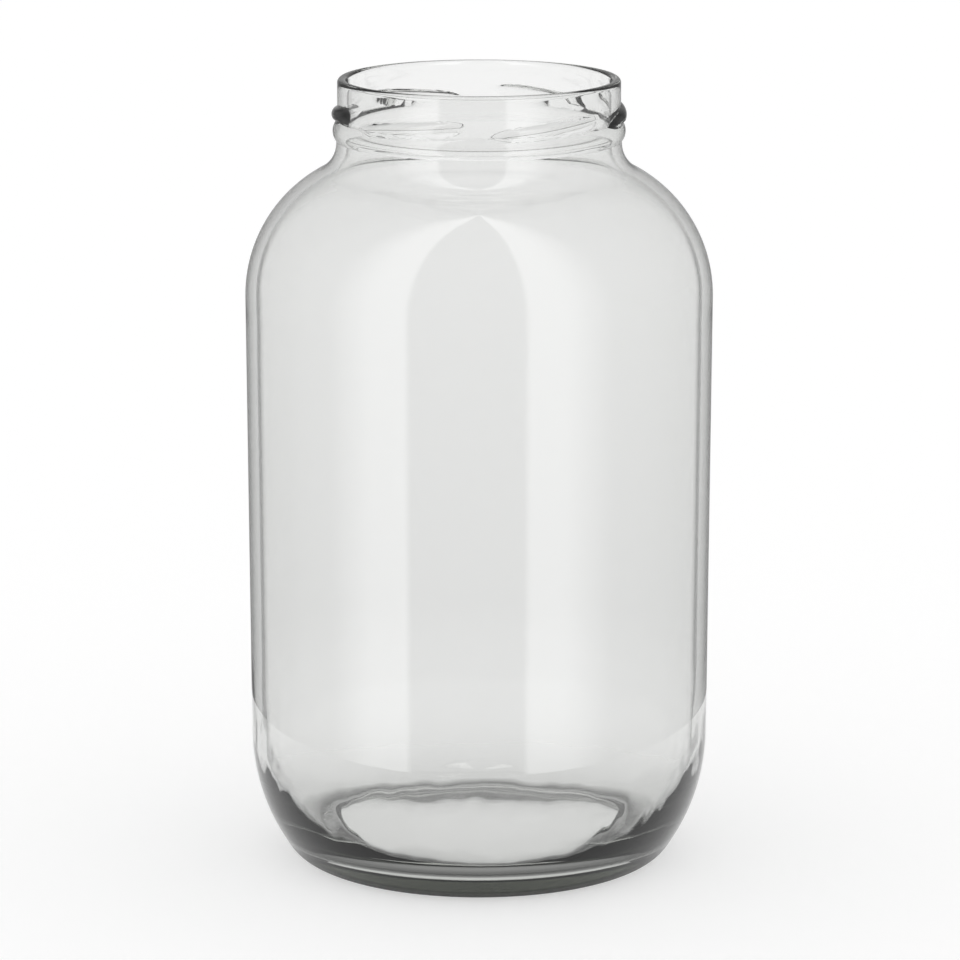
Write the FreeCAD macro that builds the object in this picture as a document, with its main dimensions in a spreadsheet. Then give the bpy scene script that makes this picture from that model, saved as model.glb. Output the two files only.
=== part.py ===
"""A wide-mouthed glass jar with a twist-off finish, as a parametric FreeCAD document.

The jar is one piece of glass, turned about the Z axis: a narrow ring to stand on round a raised
bottom, a long curved heel, a side with a little draft, a round shoulder, a short neck, and the
finish that the lid grips. The finish has a transfer bead, six slanted lugs and a rounded lip.
Millimetres, +Z up, origin at the centre of the base.
"""
import FreeCAD, Part
import math
import os

import Sketcher

from FreeCAD import Placement, Rotation, Vector

os.makedirs("parts", exist_ok=True)
doc = FreeCAD.newDocument("twist_off_jar")

# ---------------------------------------------------------------- driving dimensions
SIZES = {
    # the whole
    "jar_height": 272.0,          # table to the top of the lip
    "body_radius": 80.0,          # widest, where the side meets the shoulder
    "side_draft": 0.9,            # the side is this much narrower at the top of the heel
    "wall": 3.6,                  # glass in the side, the shoulder and the neck
    # the bottom
    "heel_height": 44.0,          # where the side starts to turn in
    "heel_radius": 68.0,          # the long curve of the heel
    "corner_radius": 12.0,        # the tighter curve that meets the table
    "inner_heel_radius": 45.0,    # the long curve inside: tighter, so the glass thickens downwards
    "inner_corner_radius": 14.0,  # the curve between it and the floor
    "bearing_width": 3.5,         # the ring that the jar stands on, with its rounded inner edge
    "bearing_round": 1.5,         # rounding of that edge
    "push_up": 6.0,               # how far the middle of the bottom is raised
    "push_up_step": 2.8,          # the part of it that rises next to the ring
    "floor_glass": 5.0,           # glass in the middle of the floor
    "floor_dome_radius": 700.0,   # the floor is nearly flat, a little higher in the middle
    # the shoulder and the neck
    "shoulder_radius": 48.6,
    "neck_fillet": 11.0,          # the hollow curve from the shoulder to the neck
    "neck_step": 0.4,             # the neck is this much wider than the wall of the finish
    "neck_length": 0.8,           # upright glass between that curve and the bead
    # the finish, measured down from the lip
    "finish_radius": 48.2,        # the wall that carries the lugs
    "finish_height": 21.2,        # lip to the underside of the transfer bead
    "bead_height": 7.0,
    "bead_curve": 5.0,            # radius of the bead's section
    "lip_round": 1.45,
    # the lugs
    "lug_count": 6,
    "lug_span": 54.0,             # degrees round the neck, tip to tip
    "lug_rise": 4.0,              # a lug climbs this much from one tip to the other
    "lug_drop": 12.3,             # lip to the middle of a lug
    "lug_radius": 2.9,            # half-round section at the middle of a lug
    "lug_proud": 2.0,             # how far a lug stands out from the wall
    # how far a cutting section runs past the glass, so that it leaves no skin
    "overrun": 2.0,
}
sheet = doc.addObject("Spreadsheet::Sheet", "Sizes")
for row, (alias, value) in enumerate(SIZES.items(), start=1):
    sheet.set(f"A{row}", alias)
    sheet.set(f"B{row}", str(value))
    sheet.setAlias(f"B{row}", alias)
doc.recompute()


def size(alias):
    """The value of a driving dimension, read back from the sheet."""
    return float(sheet.get(alias))


# ---------------------------------------------------------------- the body and its sketches
body = doc.addObject("PartDesign::Body", "glass_jar")
body.Label = "glass_jar"
body.Placement = Placement()


def origin_feature(role):
    """One of the body's own origin planes or axes, by its role."""
    for feature in body.Origin.OriginFeatures:
        if feature.Role == role:
            return feature
    raise LookupError(role)


def upright_sketch(name, turned=0.0):
    """A sketch on the plane through the Z axis: its x is the radius, its y the height."""
    sketch = body.newObject("Sketcher::SketchObject", name)
    sketch.AttachmentSupport = [(origin_feature("XZ_Plane"), "")]
    sketch.MapMode = "FlatFace"
    sketch.AttachmentOffset = Placement(Vector(0, 0, 0), Rotation(Vector(0, 1, 0), turned))
    return sketch


class Section:
    """A closed half-section, drawn edge by edge and then tied down with constraints."""

    def __init__(self, name):
        self.sketch = upright_sketch(name)
        self.edges = {}

    def line(self, name, start, end):
        self.edges[name] = self.sketch.addGeometry(Part.LineSegment(Vector(*start, 0), Vector(*end, 0)))

    def arc(self, name, centre, radius, start, end):
        """An arc that FreeCAD stores anticlockwise, from the angle of start to that of end."""
        first = math.atan2(start[1] - centre[1], start[0] - centre[0])
        last = math.atan2(end[1] - centre[1], end[0] - centre[0])
        circle = Part.Circle(Vector(*centre, 0), Vector(0, 0, 1), radius)
        self.edges[name] = self.sketch.addGeometry(Part.ArcOfCircle(circle, first, last))

    def tie(self, kind, *places):
        """A constraint between edges, each place being an edge's name or a (name, end) pair."""
        flat = []
        for place in places:
            name, end = place if isinstance(place, tuple) else (place, None)
            flat.append(self.edges[name])
            if end is not None:
                flat.append(end)
        self.sketch.addConstraint(Sketcher.Constraint(kind, *flat))

    def bound(self, label, constraint, expression):
        """A dimension that follows the sheet."""
        index = self.sketch.addConstraint(constraint)
        self.sketch.renameConstraint(index, label)
        self.sketch.setExpression(f"Constraints.{label}", expression)

    def radius(self, edge, expression):
        value = self.sketch.Geometry[self.edges[edge]].Radius
        self.bound(f"{edge}_radius", Sketcher.Constraint("Radius", self.edges[edge], value), expression)

    def across(self, edge, end, value, expression):
        """The distance of an edge's end from the axis."""
        place = Sketcher.Constraint("DistanceX", -1, 1, self.edges[edge], end, value)
        self.bound(f"{edge}_{end}_across", place, expression)

    def up(self, edge, end, value, expression):
        """The height of an edge's end above the table."""
        place = Sketcher.Constraint("DistanceY", -1, 1, self.edges[edge], end, value)
        self.bound(f"{edge}_{end}_up", place, expression)


START, END, CENTRE = 1, 2, 3
ORIGIN = (-1, 1)
AXIS_X, AXIS_Y = -1, -2


def along(start, end, distance):
    """The point at a distance from start, in the direction of end."""
    span = math.dist(start, end)
    return tuple(a + (b - a) * distance / span for a, b in zip(start, end))


def crossing(centre_a, radius_a, centre_b, radius_b):
    """Where two circles cross, at the crossing that is further from the axis."""
    span = math.dist(centre_a, centre_b)
    reach = (radius_a ** 2 - radius_b ** 2 + span ** 2) / (2 * span)
    aside = math.sqrt(radius_a ** 2 - reach ** 2)
    across, up = ((b - a) / span for a, b in zip(centre_a, centre_b))
    middle = (centre_a[0] + across * reach, centre_a[1] + up * reach)
    return max((middle[0] - side * up * aside, middle[1] + side * across * aside) for side in (-1, 1))


def shoulder_curves(side_top, shoulder_radius, fillet_radius, neck_radius, neck_foot):
    """Where the shoulder and the hollow above it have their centres, and where they meet.

    The shoulder is tangent to the upright side, the hollow to the upright neck.
    """
    hollow = (neck_radius + fillet_radius, neck_foot)
    reach = side_top - shoulder_radius
    drop = math.sqrt((shoulder_radius + fillet_radius) ** 2 - (hollow[0] - reach) ** 2)
    shoulder = (reach, neck_foot - drop)
    return shoulder, hollow, along(shoulder, hollow, shoulder_radius)


# the places that the outside and the inside share
neck_across = "Sizes.finish_radius + Sizes.neck_step"
neck_radius = size("finish_radius") + size("neck_step")
neck_foot_up = "Sizes.jar_height - Sizes.finish_height - Sizes.neck_length"
bead_foot = size("jar_height") - size("finish_height")
neck_foot = bead_foot - size("neck_length")

# ---------------------------------------------------------------- the outside, turned
side_top = size("body_radius")
side_foot = side_top - size("side_draft")
heel_centre = (side_foot - size("heel_radius"), size("heel_height"))
curve_gap = size("heel_radius") - size("corner_radius")
corner_reach = math.sqrt(curve_gap ** 2 - (size("heel_height") - size("corner_radius")) ** 2)
corner_centre = (heel_centre[0] + corner_reach, size("corner_radius"))
heel_meets_corner = along(heel_centre, corner_centre, size("heel_radius"))
shoulder_centre, hollow_centre, shoulder_meets_neck = shoulder_curves(
    side_top, size("shoulder_radius"), size("neck_fillet"), neck_radius, neck_foot)
bead_top = bead_foot + size("bead_height")
bead_middle = (bead_foot + bead_top) / 2
bead_sunk = math.sqrt(size("bead_curve") ** 2 - (size("bead_height") / 2) ** 2)
bead_centre = ((neck_radius + size("finish_radius")) / 2 - bead_sunk, bead_middle)
lip = size("jar_height")

outside = Section("outside_section")
outside.line("base", (0, 0), (corner_centre[0], 0))
outside.arc("corner", corner_centre, size("corner_radius"), (corner_centre[0], 0), heel_meets_corner)
outside.arc("heel", heel_centre, size("heel_radius"), heel_meets_corner, (side_foot, size("heel_height")))
outside.line("side", (side_foot, size("heel_height")), (side_top, shoulder_centre[1]))
outside.arc("shoulder", shoulder_centre, size("shoulder_radius"),
            (side_top, shoulder_centre[1]), shoulder_meets_neck)
outside.arc("hollow", hollow_centre, size("neck_fillet"),
            (neck_radius, neck_foot), shoulder_meets_neck)
outside.line("neck", (neck_radius, neck_foot), (neck_radius, bead_foot))
outside.arc("bead", bead_centre, size("bead_curve"),
            (neck_radius, bead_foot), (size("finish_radius"), bead_top))
outside.line("finish", (size("finish_radius"), bead_top), (size("finish_radius"), lip))
outside.line("top", (size("finish_radius"), lip), (0, lip))
outside.line("axis", (0, lip), (0, 0))

outside.tie("Tangent", ("base", END), ("corner", START))
outside.tie("Tangent", ("corner", END), ("heel", START))
outside.tie("Tangent", ("heel", END), ("side", START))
outside.tie("Tangent", ("side", END), ("shoulder", START))
outside.tie("Tangent", ("shoulder", END), ("hollow", END))
outside.tie("Tangent", ("hollow", START), ("neck", START))
for lower, lower_end, upper in (("neck", END, "bead"), ("bead", END, "finish"), ("finish", END, "top"),
                                ("top", END, "axis"), ("axis", END, "base")):
    outside.tie("Coincident", (lower, lower_end), (upper, START))
outside.sketch.addConstraint(Sketcher.Constraint("Coincident", outside.edges["base"], START, *ORIGIN))
for flat in ("base", "top"):
    outside.tie("Horizontal", flat)
for upright in ("neck", "finish", "axis"):
    outside.tie("Vertical", upright)
for edge, alias in (("corner", "corner_radius"), ("heel", "heel_radius"), ("shoulder", "shoulder_radius"),
                    ("hollow", "neck_fillet"), ("bead", "bead_curve")):
    outside.radius(edge, f"Sizes.{alias}")
outside.across("side", START, side_foot, "Sizes.body_radius - Sizes.side_draft")
outside.up("side", START, size("heel_height"), "Sizes.heel_height")
outside.across("side", END, side_top, "Sizes.body_radius")
outside.across("neck", END, neck_radius, neck_across)
outside.up("neck", START, neck_foot, neck_foot_up)
outside.up("neck", END, bead_foot, "Sizes.jar_height - Sizes.finish_height")
outside.across("finish", START, size("finish_radius"), "Sizes.finish_radius")
outside.up("finish", START, bead_top, "Sizes.jar_height - Sizes.finish_height + Sizes.bead_height")
outside.up("finish", END, lip, "Sizes.jar_height")
# measured, not driven: how far from the axis the corner comes down to the table
foot = Sketcher.Constraint("DistanceX", *ORIGIN, outside.edges["corner"], START, corner_centre[0])
corner_foot = outside.sketch.addConstraint(foot)
outside.sketch.setDriving(corner_foot, False)
outside.sketch.renameConstraint(corner_foot, "corner_foot")

blank = body.newObject("PartDesign::Revolution", "outside_form")
blank.Profile = outside.sketch
blank.ReferenceAxis = (outside.sketch, ["V_Axis"])
blank.Angle = 360
doc.recompute()

# ---------------------------------------------------------------- the lugs, lofted and repeated
# Stations along a lug, from one tip (-1) to the other (1). The half-round section is whole over
# the middle and sinks into the wall towards the tips.
STATIONS = (-1.0, -0.8, -0.45, 0.0, 0.45, 0.8, 1.0)
TIP_SIZE = 0.45      # the section at a tip, as a share of the one in the middle
TIP_DEPTH = 0.35     # how far the crest of a tip lies under the wall, as a share of lug_proud

lug_sections = []
for number, station in enumerate(STATIONS):
    fullness = 1 - abs(station) ** 4
    section_scale = TIP_SIZE + (1 - TIP_SIZE) * fullness
    crest_share = -TIP_DEPTH + (1 + TIP_DEPTH) * fullness
    section = upright_sketch(f"lug_section_{number}", station * size("lug_span") / 2)
    section.setExpression("AttachmentOffset.Rotation.Angle", f"Sizes.lug_span / 2 * {station}")
    radius_now = f"Sizes.lug_radius * {section_scale:.4f}"
    across_now = f"Sizes.finish_radius + Sizes.lug_proud * {crest_share:.4f} - {radius_now}"
    up_now = f"Sizes.jar_height - Sizes.lug_drop + Sizes.lug_rise / 2 * {station}"
    radius = size("lug_radius") * section_scale
    across = size("finish_radius") + size("lug_proud") * crest_share - radius
    up = lip - size("lug_drop") + size("lug_rise") / 2 * station
    section.addGeometry(Part.Circle(Vector(across, up, 0), Vector(0, 0, 1), radius))
    for label, constraint, expression in (
            ("section_radius", Sketcher.Constraint("Radius", 0, radius), radius_now),
            ("centre_across", Sketcher.Constraint("DistanceX", *ORIGIN, 0, CENTRE, across), across_now),
            ("centre_up", Sketcher.Constraint("DistanceY", *ORIGIN, 0, CENTRE, up), up_now)):
        index = section.addConstraint(constraint)
        section.renameConstraint(index, label)
        section.setExpression(f"Constraints.{label}", expression)
    lug_sections.append(section)
doc.recompute()

lug = body.newObject("PartDesign::AdditiveLoft", "lug")
lug.Profile = lug_sections[0]
lug.Sections = lug_sections[1:]
lug.Ruled = False
doc.recompute()

lugs = body.newObject("PartDesign::PolarPattern", "lugs")
lugs.Originals = [lug]
lugs.Axis = (origin_feature("Z_Axis"), [""])
lugs.Angle = 360
lugs.setExpression("Occurrences", "Sizes.lug_count")
body.Tip = lugs
doc.recompute()

# ---------------------------------------------------------------- the inside, turned out
bore = neck_radius - size("wall")
floor_up = size("push_up") + size("floor_glass")
inner_top = side_top - size("wall")
inner_foot = side_foot - size("wall")
inner_shoulder = size("shoulder_radius") - size("wall")
inner_hollow = size("neck_fillet") + size("wall")
dome_centre = (0, floor_up - size("floor_dome_radius"))
inner_heel_centre = (inner_foot - size("inner_heel_radius"), size("heel_height"))
inner_corner_centre = crossing(
    inner_heel_centre, size("inner_heel_radius") - size("inner_corner_radius"),
    dome_centre, size("floor_dome_radius") + size("inner_corner_radius"))
floor_meets_corner = along(dome_centre, inner_corner_centre, size("floor_dome_radius"))
corner_meets_heel = along(inner_heel_centre, inner_corner_centre, size("inner_heel_radius"))
shoulder_centre, hollow_centre, shoulder_meets_neck = shoulder_curves(
    inner_top, inner_shoulder, inner_hollow, bore, neck_foot)
past_lip = lip + size("overrun")

inside = Section("inside_section")
inside.arc("floor", dome_centre, size("floor_dome_radius"), floor_meets_corner, (0, floor_up))
inside.arc("corner", inner_corner_centre, size("inner_corner_radius"),
           floor_meets_corner, corner_meets_heel)
inside.arc("heel", inner_heel_centre, size("inner_heel_radius"),
           corner_meets_heel, (inner_foot, size("heel_height")))
inside.line("side", (inner_foot, size("heel_height")), (inner_top, shoulder_centre[1]))
inside.arc("shoulder", shoulder_centre, inner_shoulder, (inner_top, shoulder_centre[1]), shoulder_meets_neck)
inside.arc("hollow", hollow_centre, inner_hollow, (bore, neck_foot), shoulder_meets_neck)
inside.line("bore", (bore, neck_foot), (bore, past_lip))
inside.line("top", (bore, past_lip), (0, past_lip))
inside.line("axis", (0, past_lip), (0, floor_up))

inside.tie("Tangent", ("floor", START), ("corner", START))
inside.tie("Tangent", ("corner", END), ("heel", START))
inside.tie("Tangent", ("heel", END), ("side", START))
inside.tie("Tangent", ("side", END), ("shoulder", START))
inside.tie("Tangent", ("shoulder", END), ("hollow", END))
inside.tie("Tangent", ("hollow", START), ("bore", START))
inside.tie("Coincident", ("bore", END), ("top", START))
inside.tie("Coincident", ("top", END), ("axis", START))
inside.tie("Coincident", ("axis", END), ("floor", END))
inside.tie("Vertical", "bore")
inside.tie("Vertical", "axis")
inside.tie("Horizontal", "top")
for edge, end in (("floor", CENTRE), ("floor", END)):
    inside.sketch.addConstraint(Sketcher.Constraint("PointOnObject", inside.edges[edge], end, AXIS_Y))
inside.radius("floor", "Sizes.floor_dome_radius")
inside.radius("corner", "Sizes.inner_corner_radius")
inside.radius("heel", "Sizes.inner_heel_radius")
inside.radius("shoulder", "Sizes.shoulder_radius - Sizes.wall")
inside.radius("hollow", "Sizes.neck_fillet + Sizes.wall")
inside.up("floor", END, floor_up, "Sizes.push_up + Sizes.floor_glass")
inside.across("side", START, inner_foot, "Sizes.body_radius - Sizes.side_draft - Sizes.wall")
inside.up("side", START, size("heel_height"), "Sizes.heel_height")
inside.across("side", END, inner_top, "Sizes.body_radius - Sizes.wall")
inside.across("bore", START, bore, f"{neck_across} - Sizes.wall")
inside.up("bore", START, neck_foot, neck_foot_up)
inside.up("bore", END, past_lip, "Sizes.jar_height + Sizes.overrun")

cavity = body.newObject("PartDesign::Groove", "cavity")
cavity.Profile = inside.sketch
cavity.ReferenceAxis = (inside.sketch, ["V_Axis"])
cavity.Angle = 360
doc.recompute()

# ---------------------------------------------------------------- the raised bottom
bearing_across = "outside_section.Constraints.corner_foot / 1mm - Sizes.bearing_width"
bearing_radius = outside.sketch.getDatum("corner_foot").Value - size("bearing_width")
step_reach = bearing_radius - size("push_up_step")
step_rise = size("push_up") - size("push_up_step")
dome_radius = (step_reach ** 2 + step_rise ** 2) / (2 * step_rise)
under = -size("overrun")

below = Section("push_up_section")
below.arc("dome", (0, size("push_up") - dome_radius), dome_radius,
          (step_reach, size("push_up_step")), (0, size("push_up")))
below.line("step", (step_reach, size("push_up_step")), (bearing_radius, 0))
below.line("skirt", (bearing_radius, 0), (bearing_radius, under))
below.line("bottom", (bearing_radius, under), (0, under))
below.line("axis", (0, under), (0, size("push_up")))

below.tie("Coincident", ("dome", START), ("step", START))
below.tie("Coincident", ("step", END), ("skirt", START))
below.tie("Coincident", ("skirt", END), ("bottom", START))
below.tie("Coincident", ("bottom", END), ("axis", START))
below.tie("Coincident", ("axis", END), ("dome", END))
below.tie("Vertical", "skirt")
below.tie("Vertical", "axis")
below.tie("Horizontal", "bottom")
for edge, end, target in (("dome", CENTRE, AXIS_Y), ("dome", END, AXIS_Y), ("step", END, AXIS_X)):
    below.sketch.addConstraint(Sketcher.Constraint("PointOnObject", below.edges[edge], end, target))
below.up("dome", END, size("push_up"), "Sizes.push_up")
below.across("step", START, step_reach, f"{bearing_across} - Sizes.push_up_step")
below.up("step", START, size("push_up_step"), "Sizes.push_up_step")
below.across("step", END, bearing_radius, bearing_across)
depth = Sketcher.Constraint("DistanceY", below.edges["skirt"], END, *ORIGIN, -under)
below.bound("skirt_end_below", depth, "Sizes.overrun")

push_up = body.newObject("PartDesign::Groove", "push_up")
push_up.Profile = below.sketch
push_up.ReferenceAxis = (below.sketch, ["V_Axis"])
push_up.Angle = 360
doc.recompute()


# ---------------------------------------------------------------- rounded edges
def rounded(name, height, radii, alias):
    """A fillet on the level circular edges at a height that have one of the given radii."""
    base = body.Tip
    chosen = []
    for number, edge in enumerate(base.Shape.Edges, start=1):
        if edge.Degenerated or not isinstance(edge.Curve, Part.Circle):
            continue
        level = abs(edge.Curve.Center.z - height) < 0.01
        if level and any(abs(edge.Curve.Radius - wanted) < 0.01 for wanted in radii):
            chosen.append(f"Edge{number}")
    fillet = body.newObject("PartDesign::Fillet", name)
    fillet.Base = (base, chosen)
    fillet.setExpression("Radius", f"Sizes.{alias}")
    body.Tip = fillet
    doc.recompute()
    return fillet


rounded("lip", lip, (bore, size("finish_radius")), "lip_round")
rounded("bearing_edge", 0.0, (bearing_radius,), "bearing_round")

# ---------------------------------------------------------------- check and write
for item in doc.Objects:
    faults = [state for state in item.State if state in ("Invalid", "Error")]
    if faults:
        raise RuntimeError(f"{item.Name}: {faults}")
for section in (outside, inside, below):
    if section.sketch.solve() != 0:
        raise RuntimeError(f"{section.sketch.Name} does not solve")
if cavity.Shape.Volume >= lugs.Shape.Volume or push_up.Shape.Volume >= cavity.Shape.Volume:
    raise RuntimeError("a groove removed nothing")
jar = body.Shape
if jar.isNull() or not jar.isValid() or len(jar.Solids) != 1:
    raise RuntimeError("the jar is not one valid solid")
print(f"glass {jar.Volume / 1000:.1f} cm3, box {jar.BoundBox}")
jar.exportStep(f"parts/{body.Label}.step")
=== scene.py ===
# %% [markdown]
# # A large glass food jar with a twist-off mouth
# The jar is one piece of clear glass, blown in a mould. The frame gives its place and its outer
# size. This lesson draws the section of the glass, turns it about the axis, raises the six lugs
# that the lid grips, and gives it the glass that such jars are made of.

# %% Load the frame
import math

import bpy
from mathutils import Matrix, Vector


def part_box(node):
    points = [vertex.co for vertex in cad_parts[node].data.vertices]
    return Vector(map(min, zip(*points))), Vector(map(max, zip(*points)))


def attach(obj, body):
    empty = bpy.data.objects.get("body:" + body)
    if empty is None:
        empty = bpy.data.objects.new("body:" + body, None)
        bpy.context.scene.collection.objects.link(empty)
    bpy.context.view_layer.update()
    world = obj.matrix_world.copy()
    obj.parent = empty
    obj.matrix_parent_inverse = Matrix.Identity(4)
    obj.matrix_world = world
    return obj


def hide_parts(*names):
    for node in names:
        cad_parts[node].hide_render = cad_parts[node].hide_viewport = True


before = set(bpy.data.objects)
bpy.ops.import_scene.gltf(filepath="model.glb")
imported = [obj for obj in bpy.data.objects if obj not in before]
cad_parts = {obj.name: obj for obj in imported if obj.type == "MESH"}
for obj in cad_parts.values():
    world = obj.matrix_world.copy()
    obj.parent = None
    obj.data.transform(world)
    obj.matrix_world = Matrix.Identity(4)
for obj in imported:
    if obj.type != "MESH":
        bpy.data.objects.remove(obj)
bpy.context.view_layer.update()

# %% [markdown]
# Everything else comes with Blender and Python. The frame leaves its own objects selected, and an
# operator works on all that is selected, so the lesson starts with nothing selected.

bpy.ops.object.select_all(action="DESELECT")
low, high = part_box("glass_jar")
print("the jar stands from", tuple(low), "to", tuple(high))

# %% [markdown]
# ## Sizes
# A glassmaker's drawing is in millimetres, and Blender counts in metres. The height and the width
# come from the frame. The rest repeat the sizes that the frame's own solid was drawn with, and
# each stands in the cell that first needs it.

# %% The whole, from the frame
MM = 0.001
jar_height = (high.z - low.z) / MM
body_radius = (high.x - low.x) / MM / 2
print(f"jar {jar_height:.1f} mm high, {2 * body_radius:.1f} mm wide")

# %% [markdown]
# ## Where the curves meet
# Each curve of the section is an arc that runs smoothly into the next, so their centres follow from
# the sizes. Two arcs that touch have their centres in line with the point where they meet.


# %% Tangent arcs
def along(start, end, distance):
    """The point at a distance from start, in the direction of end."""
    span = math.dist(start, end)
    return tuple(a + (b - a) * distance / span for a, b in zip(start, end))


def shoulder_curves(side, shoulder, fillet, neck, foot):
    """Centres of the shoulder and of the hollow above it, and the point where they meet."""
    hollow_at = (neck + fillet, foot)
    reach = side - shoulder
    drop = math.sqrt((shoulder + fillet) ** 2 - (hollow_at[0] - reach) ** 2)
    shoulder_at = (reach, foot - drop)
    return shoulder_at, hollow_at, along(shoulder_at, hollow_at, shoulder)


def crossing(centre_a, radius_a, centre_b, radius_b):
    """Where two circles cross, on the side away from the axis."""
    span = math.dist(centre_a, centre_b)
    reach = (radius_a ** 2 - radius_b ** 2 + span ** 2) / (2 * span)
    aside = math.sqrt(radius_a ** 2 - reach ** 2)
    across, up = ((b - a) / span for a, b in zip(centre_a, centre_b))
    one = (centre_a[0] + across * reach - up * aside, centre_a[1] + up * reach + across * aside)
    two = (centre_a[0] + across * reach + up * aside, centre_a[1] + up * reach - across * aside)
    return max(one, two)


def bulge_centre(start, end, radius):
    """Centre of the arc that stands out between two points, one above the other."""
    half = math.dist(start, end) / 2
    sunk = math.sqrt(radius ** 2 - half ** 2)
    across, up = ((b - a) / 2 / half for a, b in zip(start, end))
    return ((start[0] + end[0]) / 2 - up * sunk, (start[1] + end[1]) / 2 + across * sunk)


def rounded(before, corner, after, radius):
    """Start, centre and end of the arc that rounds a corner between two straight lines."""
    one = along(corner, before, 1.0)
    two = along(corner, after, 1.0)
    half = math.asin(math.dist(one, two) / 2)
    reach = radius / math.tan(half)
    middle = tuple((a + b) / 2 for a, b in zip(one, two))
    centre = along(corner, middle, radius / math.sin(half))
    return along(corner, before, reach), centre, along(corner, after, reach)


# %% [markdown]
# ## A pen that draws the section
# A lathe-turned shape starts as the outline of its section. Blender has no drafting pen, but one
# vertex does the job: extruding it draws a straight line, and spinning it about a point draws an
# arc. The first vertex is a small plane merged to its middle.


# %% The pen
class Pen:
    """Draws an outline in the XZ plane, from point to point, in millimetres."""

    def __init__(self, name, start):
        place = (start[0] * MM, 0.0, start[1] * MM)
        bpy.ops.mesh.primitive_plane_add(size=MM, location=place)
        self.piece = bpy.context.object
        self.piece.name = name
        self.at = start
        bpy.ops.object.mode_set(mode="EDIT")
        bpy.ops.mesh.select_all(action="SELECT")
        bpy.ops.mesh.merge(type="CENTER")

    def line(self, end, steps=1):
        """A straight line, in as many edges as steps says."""
        step = ((end[0] - self.at[0]) * MM / steps, 0.0, (end[1] - self.at[1]) * MM / steps)
        for _ in range(steps):
            bpy.ops.mesh.extrude_region_move(TRANSFORM_OT_translate={"value": step})
        self.at = end

    def arc(self, centre, end, steps):
        """The shorter arc about a centre from where the pen is."""
        first = math.atan2(self.at[1] - centre[1], self.at[0] - centre[0])
        last = math.atan2(end[1] - centre[1], end[0] - centre[0])
        turn = math.remainder(last - first, math.tau)
        middle = (centre[0] * MM, 0.0, centre[1] * MM)
        bpy.ops.mesh.spin(steps=steps, angle=turn, center=middle, axis=(0, 1, 0),
                          use_auto_merge=False)
        self.at = end


# %% [markdown]
# ## Under the jar
# The bottom is pushed up in the middle, so that the jar stands on a narrow ring and can't rock.
# The ring has a rounded inner edge. Outside it, a tight corner leads into the long heel.

# %% Sizes of the bottom
side_draft = 0.9
heel_height = 44.0
heel_radius = 68.0
corner_radius = 12.0
bearing_width = 3.5
bearing_round = 1.5
push_up = 6.0
push_up_step = 2.8
step_round = 1.0

# %% Draw the bottom
side_foot = body_radius - side_draft
heel_centre = (side_foot - heel_radius, heel_height)
corner_reach = math.sqrt((heel_radius - corner_radius) ** 2 - (heel_height - corner_radius) ** 2)
corner_centre = (heel_centre[0] + corner_reach, corner_radius)
corner_end = along(heel_centre, corner_centre, heel_radius)
bearing_radius = corner_centre[0] - bearing_width
step_reach = bearing_radius - push_up_step
step_rise = push_up - push_up_step
dome_radius = (step_reach ** 2 + step_rise ** 2) / (2 * step_rise)

step_top = (step_reach, push_up_step)
ring_edge = (bearing_radius, 0.0)
ring_foot = (corner_centre[0], 0.0)
dome_slope = (step_reach - 1.0, push_up_step + step_reach / (dome_radius - step_rise))
top_round = rounded(dome_slope, step_top, ring_edge, step_round)
edge_round = rounded(step_top, ring_edge, ring_foot, bearing_round)

pen = Pen("jar", (0.0, push_up))
pen.arc((0.0, push_up - dome_radius), top_round[0], 14)
pen.arc(top_round[1], top_round[2], 4)
pen.line(edge_round[0], 2)
pen.arc(edge_round[1], edge_round[2], 6)
pen.line(ring_foot, 2)
pen.arc(corner_centre, corner_end, 14)
print(f"the jar stands on a ring {2 * edge_round[2][0]:.1f} to {2 * ring_foot[0]:.1f} mm across")

# %% [markdown]
# ## The side and the shoulder
# The heel runs up into the side, which is nearly upright, and the shoulder is one big arc that a
# small hollow turns up into the neck.

# %% Draw the side
shoulder_radius = 48.6
neck_fillet = 11.0
neck_step = 0.4
neck_length = 0.8
finish_radius = 48.2
finish_height = 21.2
neck_radius = finish_radius + neck_step
bead_foot = jar_height - finish_height
neck_foot = bead_foot - neck_length
shoulder_centre, hollow_centre, shoulder_end = shoulder_curves(
    body_radius, shoulder_radius, neck_fillet, neck_radius, neck_foot)

pen.arc(heel_centre, (side_foot, heel_height), 22)
pen.line((body_radius, shoulder_centre[1]), 12)
pen.arc(shoulder_centre, shoulder_end, 24)
pen.arc(hollow_centre, (neck_radius, neck_foot), 10)
pen.line((neck_radius, bead_foot), 2)

# %% [markdown]
# ## The finish
# Glassmakers call the mouth of a jar its finish, because it used to be made last. A round bead goes
# all the way round, above it stands the wall that carries the lugs, and a rounded lip ends it. The
# wall gets many short edges here, because the lugs are raised from them later.

# %% Sizes of the finish
wall = 3.6
bead_height = 7.0
bead_curve = 5.0
lip_round = 1.45
lug_rise = 4.0
lug_drop = 12.3
lug_radius = 2.9
lug_proud = 2.0

# %% Draw the finish
bead_top = bead_foot + bead_height
bead_middle = (bead_foot + bead_top) / 2
bead_centre = bulge_centre((neck_radius, bead_foot), (finish_radius, bead_top), bead_curve)
bore = neck_radius - wall
lug_level = jar_height - lug_drop
lug_sunk = lug_radius - lug_proud
crease = math.sqrt(lug_radius ** 2 - lug_sunk ** 2)

pen.arc(bead_centre, (finish_radius, bead_top), 16)
pen.line((finish_radius, lug_level + crease + 0.5 * lug_rise), 22)
pen.line((finish_radius, jar_height - lip_round), 6)
pen.arc((finish_radius - lip_round, jar_height - lip_round),
        (finish_radius - lip_round, jar_height), 8)
pen.line((bore + lip_round, jar_height))
pen.arc((bore + lip_round, jar_height - lip_round), (bore, jar_height - lip_round), 8)

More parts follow.
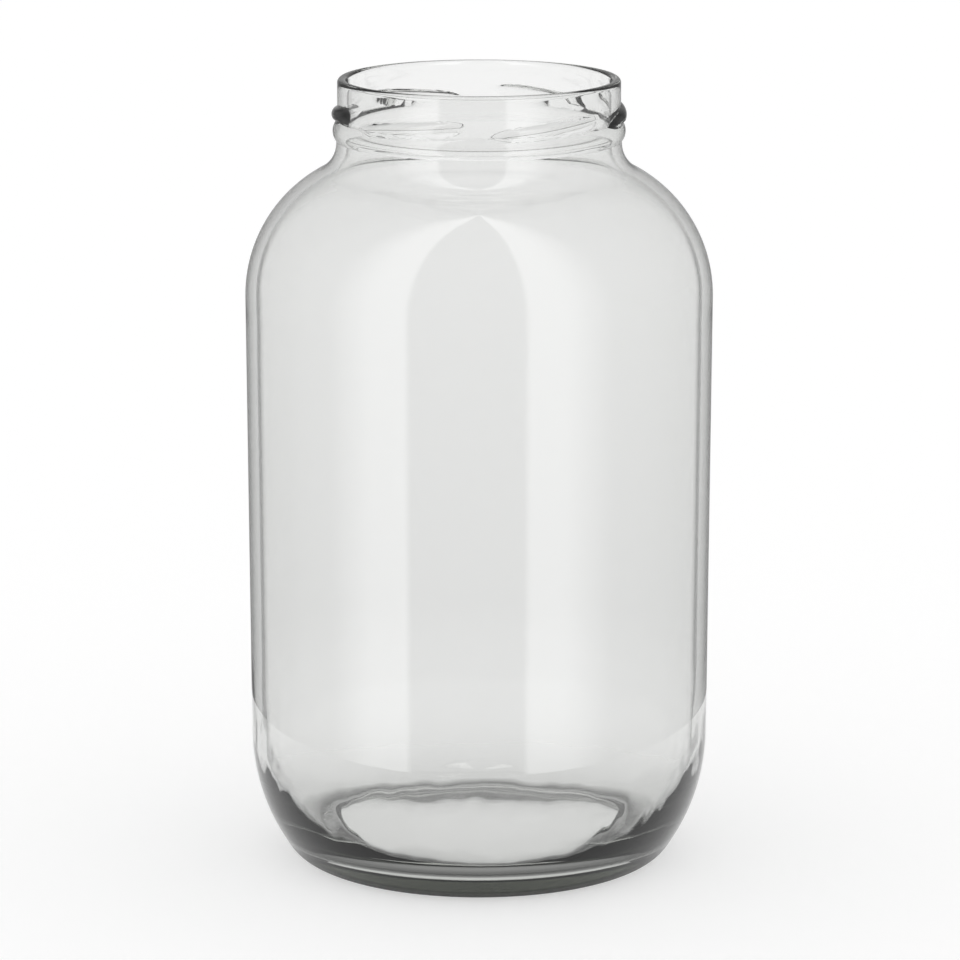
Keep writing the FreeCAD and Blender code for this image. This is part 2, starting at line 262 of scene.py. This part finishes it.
# %% [markdown]
# ## The inside
# Air blows the inside, not a mould, so it is simpler than the outside: it keeps one thickness down
# the neck, the shoulder and the side, and then turns in a long curve and a tighter one to a nearly
# flat floor. That is why the glass is thickest in the heel.

# %% Draw the inside
inner_heel_radius = 45.0
inner_corner_radius = 14.0
floor_glass = 5.0
floor_dome_radius = 700.0
floor_up = push_up + floor_glass
inner_top = body_radius - wall
inner_foot = side_foot - wall
inner_shoulder_centre, inner_hollow_centre, inner_shoulder_end = shoulder_curves(
    inner_top, shoulder_radius - wall, neck_fillet + wall, bore, neck_foot)
inner_heel_centre = (inner_foot - inner_heel_radius, heel_height)
dome_centre = (0.0, floor_up - floor_dome_radius)
inner_corner_centre = crossing(inner_heel_centre, inner_heel_radius - inner_corner_radius,
                               dome_centre, floor_dome_radius + inner_corner_radius)
inner_heel_end = along(inner_heel_centre, inner_corner_centre, inner_heel_radius)
floor_end = along(dome_centre, inner_corner_centre, floor_dome_radius)
print(f"the flat of the floor is {2 * floor_end[0]:.1f} mm across, {floor_end[1]:.1f} mm up")

pen.line((bore, neck_foot), 8)
pen.arc(inner_hollow_centre, inner_shoulder_end, 10)
pen.arc(inner_shoulder_centre, (inner_top, inner_shoulder_centre[1]), 20)
pen.line((inner_foot, heel_height), 30)
pen.arc(inner_heel_centre, inner_heel_end, 16)
pen.arc(inner_corner_centre, floor_end, 10)
pen.arc(dome_centre, (0.0, floor_up), 12)
bpy.ops.object.mode_set(mode="OBJECT")
print("the outline has", len(pen.piece.data.vertices), "points")

# %% [markdown]
# ## Turn the section into glass
# Spinning the whole outline about the upright axis makes the closed skin of the jar. The number of
# steps is a multiple of the number of lugs, so that all six come out alike. The last step lands on
# the first outline, and the ends of the outline lie on the axis: merging joins both, and only then
# do the normals have an inside and an outside to tell apart.

# %% Spin the outline
lug_count = 6
steps_per_lug = 54
on_axis = 0.01
merge_within = 0.005
turn_steps = lug_count * steps_per_lug
jar = pen.piece
for vertex in jar.data.vertices:
    if abs(vertex.co.x) < on_axis * MM:
        vertex.co.x = 0.0
bpy.ops.object.mode_set(mode="EDIT")
bpy.ops.mesh.select_all(action="SELECT")
bpy.ops.mesh.spin(steps=turn_steps, angle=math.tau, center=(0, 0, 0), axis=(0, 0, 1),
                  use_auto_merge=False)
bpy.ops.mesh.select_all(action="SELECT")
bpy.ops.mesh.remove_doubles(threshold=merge_within * MM)
bpy.ops.mesh.normals_make_consistent(inside=False)
bpy.ops.object.mode_set(mode="OBJECT")
bpy.ops.object.transform_apply(location=True, rotation=True, scale=True)
print("the jar has", len(jar.data.polygons), "faces")


# %% [markdown]
# ## Raise the lugs
# A lug is a slanted ridge, half round in section, that fades into the wall at both ends. Its rows
# of vertices first climb with it, then they are pushed out. Both moves are the Displace modifier,
# and a vertex group says how much of the move each vertex makes.


# %% How far a vertex climbs and stands out
lug_span = math.radians(54.0)
tip_round = 0.45
tip_sunk = 0.35


def lug_place(angle):
    """Where an angle falls on its lug: -1 and 1 are the two tips, and past them is the gap."""
    pitch = math.tau / lug_count
    return math.remainder(angle, pitch) / (lug_span / 2)


def climb(place):
    """The share of the rise at a place: from -0.5 to 0.5 on the lug, and back down in the gap."""
    gap_edge = math.tau / lug_count / lug_span
    if abs(place) <= 1.0:
        return place / 2
    return math.copysign((gap_edge - abs(place)) / (gap_edge - 1.0) / 2, place)


def stands_out(place, above):
    """How far the lug stands out from the wall, at a height above its middle line."""
    if abs(place) > 1.0:
        return 0.0
    fullness = 1 - place ** 4
    round_now = lug_radius * (tip_round + (1 - tip_round) * fullness)
    crest = lug_proud * ((1 + tip_sunk) * fullness - tip_sunk)
    if abs(above) >= round_now:
        return 0.0
    return max(0.0, math.sqrt(round_now ** 2 - above ** 2) - (round_now - crest))


def outside_wall(vertex, lowest, highest):
    """True for a vertex of the outside of the finish, between two heights."""
    radius = math.hypot(vertex.co.x, vertex.co.y) / MM
    return radius > finish_radius - 0.05 and lowest < vertex.co.z / MM < highest


# %% Push with the Displace modifier
def displace(piece, group, direction, strength, texture=None):
    """Moves a vertex group along an axis or the normal, and applies the move."""
    modifier = piece.modifiers.new(group, "DISPLACE")
    modifier.vertex_group = group
    modifier.direction = direction
    modifier.strength = strength
    modifier.mid_level = 0.5 if texture else 0.0
    if texture:
        modifier.texture = texture
        modifier.texture_coords = "LOCAL"
    bpy.ops.object.modifier_apply(modifier=modifier.name)


climbing = jar.vertex_groups.new(name="climbing")
row_margin = 0.05
fade_low = 1.5
fade_high = 4.0
lug_rows = (bead_top + row_margin, jar_height - lip_round - row_margin)
for vertex in jar.data.vertices:
    if outside_wall(vertex, *lug_rows):
        share = climb(lug_place(math.atan2(vertex.co.y, vertex.co.x)))
        height = vertex.co.z / MM
        fade = min(1.0, (height - lug_rows[0]) / fade_low, (lug_rows[1] - height) / fade_high)
        climbing.add([vertex.index], (0.5 + share) * fade, "REPLACE")
displace(jar, "climbing", "Z", lug_rise * MM)

lugs = jar.vertex_groups.new(name="lugs")
for vertex in jar.data.vertices:
    if outside_wall(vertex, bead_middle, lug_rows[1]):
        place = lug_place(math.atan2(vertex.co.y, vertex.co.x))
        above = vertex.co.z / MM - lug_level - climb(place) * lug_rise
        radius = math.hypot(vertex.co.x, vertex.co.y) / MM
        wanted = finish_radius + stands_out(place, above) - radius
        if wanted > 0.0:
            lugs.add([vertex.index], min(1.0, wanted / lug_proud), "REPLACE")
displace(jar, "lugs", "NORMAL", lug_proud * MM)
print("the lugs stand out to", max(math.hypot(v.co.x, v.co.y) for v in jar.data.vertices
                                   if v.co.z > bead_top * MM) / MM)

# %% [markdown]
# ## Ripple the inside
# A mould shapes only the outside. The inside cools against air, so it is never quite even, and
# most of all in the heel, where the glass is thick. Sculpting could do it by hand; a cloud texture
# in a Displace modifier does it the same way each time, and a vertex group keeps it near the foot.

# %% The inside is blown, not moulded
ripple_size = 14.0
ripple_depth = 0.5
ripple_fade = 30.0
floor_share = 0.15
ripple_start = 14.0
ripple_climb = 8.0
skin_margin = 1.5
heel_margin = 1.0


def ripples_here(vertex):
    """How strongly the inside ripples at a vertex: most in the heel, hardly at all above it."""
    radius = math.hypot(vertex.co.x, vertex.co.y) / MM
    height = vertex.co.z / MM
    if height >= heel_height:
        on_inside = radius < inner_foot + skin_margin
        return max(0.0, 1 - (height - heel_height) / ripple_fade) if on_inside else 0.0
    reach = math.hypot(max(0.0, radius - inner_heel_centre[0]), height - heel_height)
    if height < push_up + skin_margin or reach > inner_heel_radius + heel_margin:
        return 0.0
    up_the_heel = min(1.0, max(0.0, (height - ripple_start) / ripple_climb))
    return floor_share + (1 - floor_share) * up_the_heel


ripples = bpy.data.textures.new("ripples", "CLOUDS")
ripples.noise_scale = ripple_size * MM
inside = jar.vertex_groups.new(name="inside")
for vertex in jar.data.vertices:
    share = ripples_here(vertex)
    if share > 0.0:
        inside.add([vertex.index], share, "REPLACE")
displace(jar, "inside", "NORMAL", ripple_depth * MM, ripples)
print("the inside ripples over", ripple_size, "mm, by up to", ripple_depth / 2, "mm each way")

# %% [markdown]
# ## Knurl the ring
# The ring that a jar stands on has fine moulded knurls, so that the hot glass touches the conveyor
# only at their crests. They could be modelled one by one. Here the spin has already left rows of
# vertices round the ring, so every fourth and its neighbour are lifted a little.

# %% Knurl the bearing ring
knurl_depth = 0.25
knurl_pitch = 4
ring_inner = bearing_radius + bearing_round - 0.2
ring_outer = corner_centre[0] + 0.5
knurls = jar.vertex_groups.new(name="knurls")
for vertex in jar.data.vertices:
    radius = math.hypot(vertex.co.x, vertex.co.y) / MM
    if vertex.co.z < 0.1 * MM and ring_inner < radius < ring_outer:
        step = round(math.atan2(vertex.co.y, vertex.co.x) / math.tau * turn_steps)
        if step % knurl_pitch in (0, 1):
            knurls.add([vertex.index], 1.0, "REPLACE")
displace(jar, "knurls", "Z", knurl_depth * MM)
print("the ring has", turn_steps // knurl_pitch, "knurls")

# %% [markdown]
# ## Smooth the shading
# Clear glass shows every facet twice, once on each skin. The shading is smoothed over all edges
# but the sharpest.

# %% Smooth the shading
sharp_from = math.radians(38)
bpy.ops.object.select_all(action="DESELECT")
jar.select_set(True)
bpy.context.view_layer.objects.active = jar
bpy.ops.object.shade_smooth_by_angle(angle=sharp_from)
print("the finished jar has", len(jar.data.polygons), "faces")

# %% [markdown]
# ## Nodes
# Colours are written as the hex codes of a paint chart, but light adds up in linear numbers, so one
# function turns the one into the other. A second adds a node, and a third makes the ramp of greys
# that the glass and the studio use several times.


# %% Colours and nodes
def linear(code):
    """An sRGB hex colour as the linear numbers that Blender's nodes take."""
    parts = [int(code[i:i + 2], 16) / 255 for i in (1, 3, 5)]
    curve = [c / 12.92 if c <= 0.04045 else ((c + 0.055) / 1.055) ** 2.4 for c in parts]
    return (*curve, 1.0)


def node(material, kind, settings=None, links=None):
    """Adds a node with its settings, and links sockets of other nodes into it."""
    tree = material.node_tree
    made = tree.nodes.new(kind)
    for name, value in (settings or {}).items():
        if isinstance(name, int) or name in made.inputs:
            made.inputs[name].default_value = value
        else:
            setattr(made, name, value)
    for name, source in (links or {}).items():
        tree.links.new(source, made.inputs[name])
    return made


def bare(material):
    """Empties a material or a world of its nodes, ready for new ones."""
    material.use_nodes = True
    material.node_tree.nodes.clear()
    return material


def greys(material, source, levels):
    """A grey for each place from 0 to 1, and an even change from each to the next."""
    ramp = node(material, "ShaderNodeValToRGB", None, {"Fac": source})
    stops = ramp.color_ramp.elements
    while len(stops) > 1:
        stops.remove(stops[0])
    for number, (position, level) in enumerate(sorted(levels)):
        stop = stops[0] if number == 0 else stops.new(position)
        stop.position = position
        stop.color = (level, level, level, 1)
    return ramp.outputs["Color"]


# %% [markdown]
# ## Clear glass
# Food jars are flint glass: soda, lime and sand, melted with nothing to colour it but a trace of
# iron, which shows a faint grey green where the glass is thick. It is smooth as it left the mould,
# with an IOR of 1.52.
#
# The dark lines along a jar's edges are dark parts of a room, bent round by the glass. A white room
# has no dark parts, so the edges would fade. Here two ramps paint that shade into the colour of the
# glass, darker as it turns away from the eye: early and gently on most of it, and later and far
# more on the upright inside, where they paint a dark line. This painted shade is a choice for the
# eye and isn't how light behaves in glass, and so is the absorption, which is far stronger than
# that of real flint glass. For true glass, leave the ramps out and lower the density.
#
# The normal points out of the glass, so multiplied by the direction away from the axis it gives 1
# on the upright outside and -1 on the upright inside. That tells the two skins apart.

# %% Which skin is it, and how far is it turned away
glass = bare(bpy.data.materials.new("clear_flint_glass"))
graze = node(glass, "ShaderNodeLayerWeight", {"Blend": 0.5}).outputs["Facing"]
# Painted shade: these ramps darken the glass colour towards its edges, and on the inside paint a
# dark line.
outer_painted_shade = greys(glass, graze, [(0.62, 0.98), (0.80, 0.80), (0.97, 0.30)])
inner_painted_shade = greys(glass, graze, [(0.76, 0.98), (0.80, 0.60), (0.84, 0.02)])

place = node(glass, "ShaderNodeTexCoord")
flat_place = node(glass, "ShaderNodeVectorMath", {"operation": "MULTIPLY", 1: (1, 1, 0)},
                  {0: place.outputs["Object"]})
outwards = node(glass, "ShaderNodeVectorMath", {"operation": "NORMALIZE"},
                {0: flat_place.outputs["Vector"]})
faces_out = node(glass, "ShaderNodeVectorMath", {"operation": "DOT_PRODUCT"},
                 {0: outwards.outputs["Vector"], 1: place.outputs["Normal"]})
inside_from = -0.85
inside_full = -0.97
on_inside = node(glass, "ShaderNodeMapRange", {"From Min": inside_from, "From Max": inside_full},
                 {"Value": faces_out.outputs["Value"]})

# %% The glass
volume_density = 100.0
# The colour of the glass carries the painted edge shade of the two ramps.
painted_edge_shade = node(glass, "ShaderNodeMix", {"data_type": "RGBA"},
                   {0: on_inside.outputs["Result"], 6: outer_painted_shade, 7: inner_painted_shade})
body = node(glass, "ShaderNodeBsdfPrincipled",
            {"Roughness": 0.0, "IOR": 1.52, "Transmission Weight": 1.0},
            {"Base Color": painted_edge_shade.outputs[2]})
tint = node(glass, "ShaderNodeVolumeAbsorption",
            {"Color": linear("#e4e5e3"), "Density": volume_density})
node(glass, "ShaderNodeOutputMaterial", None,
     {"Surface": body.outputs["BSDF"], "Volume": tint.outputs["Volume"]})
jar.data.materials.clear()
jar.data.materials.append(glass)

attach(jar, "root")
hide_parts("glass_jar")
print("the glass has", len(glass.node_tree.nodes), "nodes")

# %% [markdown]
# ## The table and the room
# Clear glass shows only what is round it, so the room does half the work. The table is matt and a
# little grey, so that it keeps the jar's shadow. A glow that is seen straight, in a reflection or
# through glass lifts it nearly to white, and adds no other light. The world is lifted the same way.


# %% What an eye sees, straight or by way of the glass
def seen_directly(material):
    """1 for a ray from the camera, off a polished surface or through glass, and 0 for the rest."""
    path = node(material, "ShaderNodeLightPath")
    either = node(material, "ShaderNodeMath", {"operation": "MAXIMUM"},
                  {0: path.outputs["Is Camera Ray"], 1: path.outputs["Is Glossy Ray"]})
    any_of_three = node(material, "ShaderNodeMath", {"operation": "MAXIMUM"},
                        {0: either.outputs[0], 1: path.outputs["Is Transmission Ray"]})
    return any_of_three.outputs[0]


# %% The table
table_grey = 0.69
table_glow = 0.45
table_radius = 8.0
table_white = bare(bpy.data.materials.new("white_table"))
glow = node(table_white, "ShaderNodeMath", {"operation": "MULTIPLY", 1: table_glow},
            {0: seen_directly(table_white)})
matt = node(table_white, "ShaderNodeBsdfDiffuse",
            {"Color": (table_grey, table_grey, table_grey, 1)})
shine = node(table_white, "ShaderNodeEmission", None, {"Strength": glow.outputs[0]})
both = node(table_white, "ShaderNodeAddShader", None, {0: matt.outputs[0], 1: shine.outputs[0]})
node(table_white, "ShaderNodeOutputMaterial", None, {"Surface": both.outputs[0]})

bpy.ops.mesh.primitive_circle_add(vertices=96, radius=table_radius, fill_type="NGON",
                                  location=(0, 0, 0))
floor = bpy.context.object
floor.name = "floor"
floor.data.materials.append(table_white)

# %% The room
light_level = 0.8
seen_level = 1.0
world = bare(bpy.data.worlds.new("room"))
bpy.context.scene.world = world
level = node(world, "ShaderNodeMix", {"data_type": "FLOAT", 2: light_level, 3: seen_level},
             {0: seen_directly(world)})
sky = node(world, "ShaderNodeBackground", {"Color": (1, 1, 1, 1)}, {"Strength": level.outputs[0]})
node(world, "ShaderNodeOutputWorld", None, {"Surface": sky.outputs[0]})
print("the room lights the jar at", light_level, "and looks", seen_level)

# %% [markdown]
# ## A tent for the reflections
# Bottles are often shot inside a tent of cloth with a lamp behind two of its panels: the panels
# make the long upright highlights, and the dim rest keeps the glass from looking milky. Area lamps
# would light the table too, so this tent is a closed cylinder that only reflections see. Its
# brightness goes by azimuth, where 0 is the front and 90 the right. It stands close, because the
# side of the jar mirrors downwards and would show the table instead.


# %% Brightness by azimuth
def by_azimuth(material, levels):
    """Greys that change round the upright axis, from pairs of an azimuth and a level."""
    place = node(material, "ShaderNodeTexCoord")
    turn = node(material, "ShaderNodeTexGradient", {"gradient_type": "RADIAL"},
                {"Vector": place.outputs["Object"]})
    around = [((azimuth / 360 + 0.25) % 1.0, level) for azimuth, level in levels]
    return greys(material, turn.outputs["Fac"], around)


def unseen(piece, *rays):
    """Hides a piece from these kinds of ray."""
    for kind in rays:
        setattr(piece, f"visible_{kind}", False)


# %% The tent
tent_strength = 4.0
tent_radius = 0.24
tent_depth = 2.45
tent_foot = -0.05
tent_levels = [
    (-180, 0.14), (-155, 0.10), (-140, 0.05), (-120, 0.12), (-90, 0.14), (-66, 0.20),
    (-46, 0.75), (-31, 0.80), (-28, 0.22), (18, 0.22), (21, 0.80), (36, 0.80),
    (58, 0.20), (90, 0.14), (120, 0.12), (140, 0.05), (155, 0.10)]
tent_cloth = bare(bpy.data.materials.new("tent"))
lit = node(tent_cloth, "ShaderNodeEmission", {"Strength": tent_strength},
           {"Color": by_azimuth(tent_cloth, tent_levels)})
node(tent_cloth, "ShaderNodeOutputMaterial", None, {"Surface": lit.outputs[0]})
bpy.ops.mesh.primitive_cylinder_add(vertices=96, radius=tent_radius, depth=tent_depth,
                                    location=(0, 0, tent_depth / 2 + tent_foot))
tent = bpy.context.object
tent.name = "tent"
tent.data.materials.append(tent_cloth)
unseen(tent, "camera", "diffuse", "transmission", "shadow")
print("the tent has", len(tent_levels), "levels round it")

# %% [markdown]
# ## A scrim behind the foot
# Low down, a real table behind a jar is a little darker than the wall above it. A scrim is a thin
# net that dims what is behind it. This one is seen only through the glass, where it paints that
# darkening in as painted shade, thickest 50 mm up.

# %% The scrim
scrim_radius = 0.16
scrim_height = 0.6
# Painted shade: dims what the glass shows of the table and the room, most at 50 mm up.
scrim_painted_shade = [(0.0, 1.0), (0.05, 0.90), (0.25, 1.0)]
scrim_net = bare(bpy.data.materials.new("scrim"))
spot = node(scrim_net, "ShaderNodeTexCoord")
apart = node(scrim_net, "ShaderNodeSeparateXYZ", None, {"Vector": spot.outputs["Object"]})
net = node(scrim_net, "ShaderNodeBsdfTransparent", None,
           {"Color": greys(scrim_net, apart.outputs["Z"], scrim_painted_shade)})
node(scrim_net, "ShaderNodeOutputMaterial", None, {"Surface": net.outputs[0]})
bpy.ops.mesh.primitive_cylinder_add(vertices=96, radius=scrim_radius, depth=scrim_height,
                                    end_fill_type="NOTHING", location=(0, 0, scrim_height / 2))
bpy.ops.object.transform_apply(location=True, rotation=True, scale=True)
scrim = bpy.context.object
scrim.name = "scrim"
scrim.data.materials.append(scrim_net)
unseen(scrim, "camera", "diffuse", "glossy", "shadow")
print("the scrim dims to", min(level for _, level in scrim_painted_shade))

# %% [markdown]
# ## The table under the foot
# Where the ring touches the table there is a thin dark line, and thick glass spreads it over the
# heel. Left to itself, the thin shadow of clear glass is too pale to do that. So a disc just above
# the table, seen only in and through the glass, carries the line as a painted shadow ring. Inside
# the ring it is painted nearly white, a painted pool of light as if the bottom of the jar gathered
# light onto the table, and outside it a painted shade fades out. It hides the real shadow from the
# glass, but not from the eye.

# %% The patch
patch_radius = 0.12
patch_lift = 0.0001
# Painted light and shadow: nearly white inside, a dark ring at the foot, and shade fading outwards.
patch_light_and_shadow = [(0.0, 0.86), (0.0525, 0.86), (0.0535, 0.40), (0.0575, 0.08),
                (0.0615, 0.25), (0.070, 0.80), (0.118, 0.92)]
patch_paint = bare(bpy.data.materials.new("patch"))
here = node(patch_paint, "ShaderNodeTexCoord")
reach = node(patch_paint, "ShaderNodeVectorMath", {"operation": "LENGTH"},
             {0: here.outputs["Object"]})
share = node(patch_paint, "ShaderNodeMath", {"operation": "DIVIDE", 1: patch_radius},
             {0: reach.outputs["Value"]})
rings = [(radius / patch_radius, level) for radius, level in patch_light_and_shadow]
pale = node(patch_paint, "ShaderNodeEmission", None,
            {"Color": greys(patch_paint, share.outputs[0], rings)})
node(patch_paint, "ShaderNodeOutputMaterial", None, {"Surface": pale.outputs[0]})
bpy.ops.mesh.primitive_circle_add(vertices=96, radius=patch_radius, fill_type="NGON",
                                  location=(0, 0, patch_lift))
patch = bpy.context.object
patch.name = "patch"
patch.data.materials.append(patch_paint)
unseen(patch, "camera", "diffuse", "shadow")
print("the patch is darkest", 1000 * min(patch_light_and_shadow, key=lambda pair: pair[1])[0], "mm out")

# %% [markdown]
# ## The camera
# A long lens from well back keeps the sides upright, and it looks down just enough to open the
# mouth into an oval.

# %% The camera
camera_place = (0.0003, -1.6698, 0.4972)
camera_dip = math.radians(12.33)
camera_data = bpy.data.cameras.new("camera")
camera = bpy.data.objects.new("camera", camera_data)
bpy.context.scene.collection.objects.link(camera)
camera.location = camera_place
camera.rotation_euler = (math.radians(90) - camera_dip, 0.0, 0.0)
camera_data.lens = 185.6
bpy.context.scene.camera = camera
bpy.context.scene.view_settings.view_transform = "Standard"
print("the camera stands", math.hypot(*camera_place), "m from the foot of the jar")
